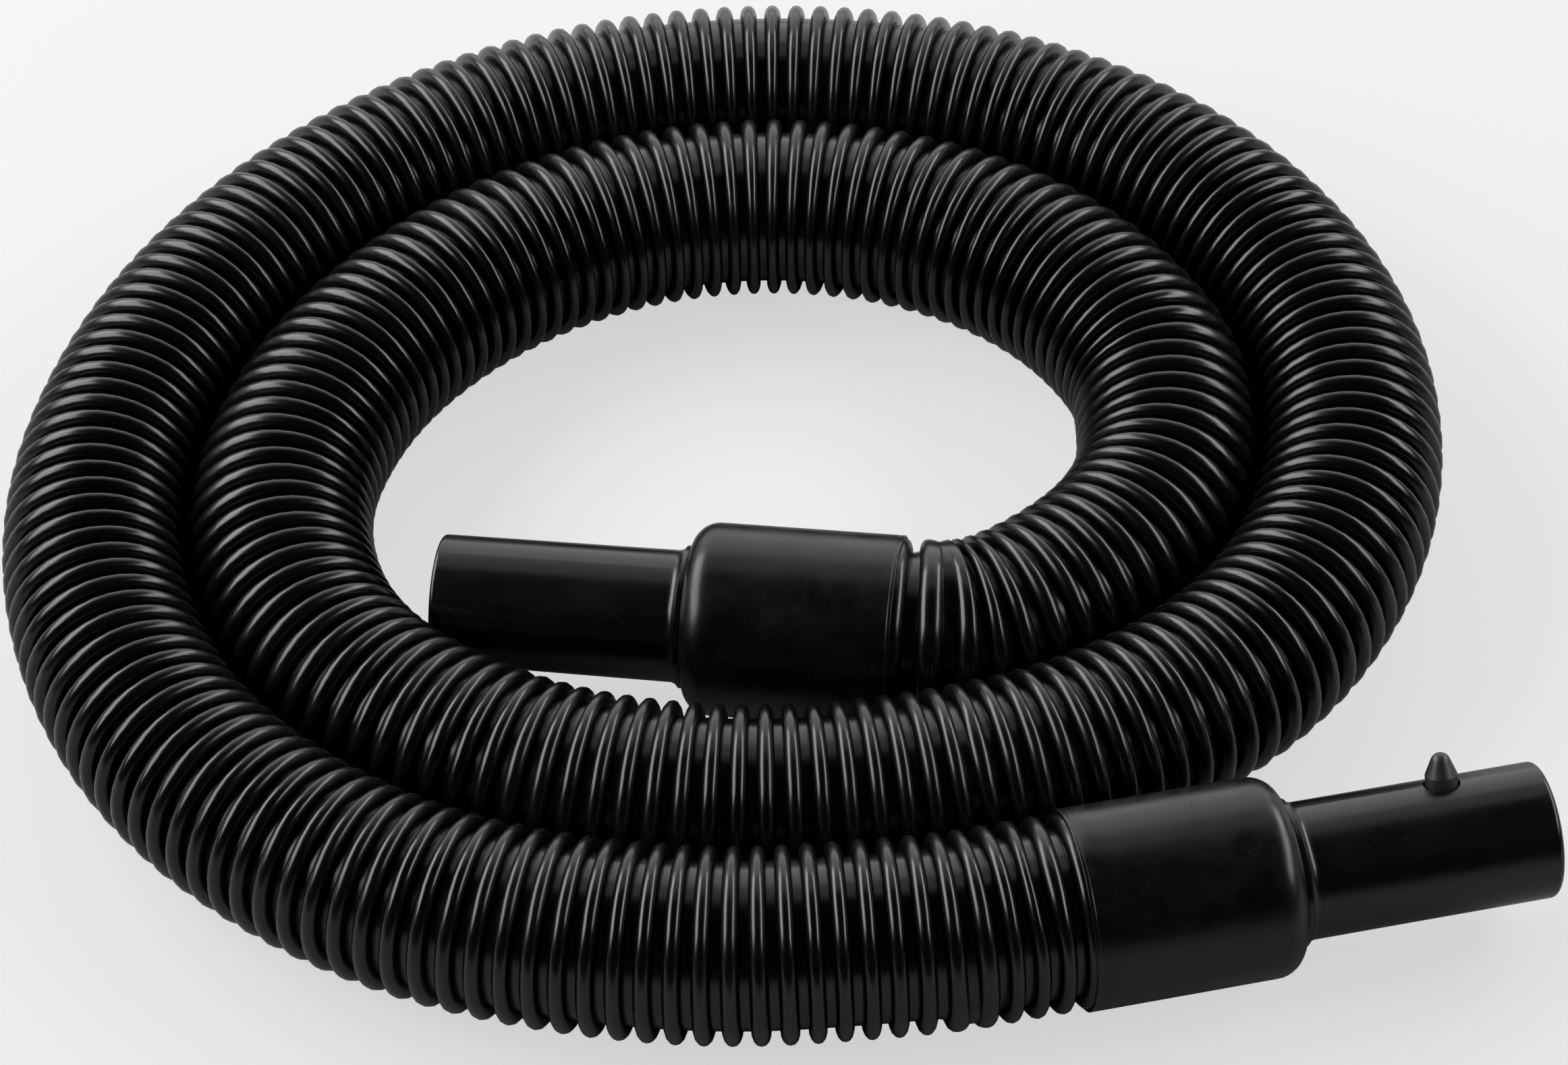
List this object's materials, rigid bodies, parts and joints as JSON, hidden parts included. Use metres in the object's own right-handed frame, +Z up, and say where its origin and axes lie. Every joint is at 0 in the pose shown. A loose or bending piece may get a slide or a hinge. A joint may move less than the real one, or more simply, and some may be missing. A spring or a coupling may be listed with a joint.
{
  "type": "vacuum hose",
  "caption": "Ribbed suction hose coiled on the floor, with a soft cuff and a swivelling push-fit tube at each end and a sprung snap button on one tube.",
  "frame": {"origin": "middle of the footprint on the floor that the coiled hose lies on", "axes": "+X to the right in the picture, +Y away from the viewer, +Z up"},
  "size_m": [0.3735, 0.3593, 0.0479],
  "materials": {
    "hose_plastic": "glossy black",
    "cuff_plastic": "soft satin black",
    "tube_plastic": "smooth satin black",
    "button_plastic": "satin grey-black",
    "spring_steel": "bare spring steel",
    "washer_plastic": "natural slip plastic",
    "seal_rubber": "matt black"
  },
  "bodies": {
    "hose": {"ribbed_hose": "hose_plastic", "machine_cuff": "cuff_plastic", "tool_cuff": "cuff_plastic", "machine_hose_insert": "tube_plastic", "tool_hose_insert": "tube_plastic", "machine_thrust_washer": "washer_plastic", "tool_thrust_washer": "washer_plastic", "machine_seal_ring": "seal_rubber", "tool_seal_ring": "seal_rubber"},
    "machine_end": {"machine_tube": "tube_plastic", "button_leaf_spring": "spring_steel"},
    "button": {"snap_button": "button_plastic"},
    "tool_end": {"tool_tube": "tube_plastic"}
  },
  "joints": [
    {"name": "machine_swivel", "type": "hinge", "parent": "hose", "child": "machine_end", "pos_m": [0.12301, -0.13617, 0.0236], "axis": [0.9789, 0.2045, 0], "continuous": true},
    {"name": "tool_swivel", "type": "hinge", "parent": "hose", "child": "tool_end", "pos_m": [-0.01493, -0.04799, 0.02338], "axis": [-0.9889, 0.1478, -0.0175], "continuous": true},
    {"name": "button_press", "type": "slide", "parent": "machine_end", "child": "button", "axis": [0.0766, -0.3667, -0.9272], "range_m": [0, 0.0077], "stiffness_N_per_m": 900, "springref_m": -0.004, "deforming": ["button_leaf_spring"]}
  ]
}
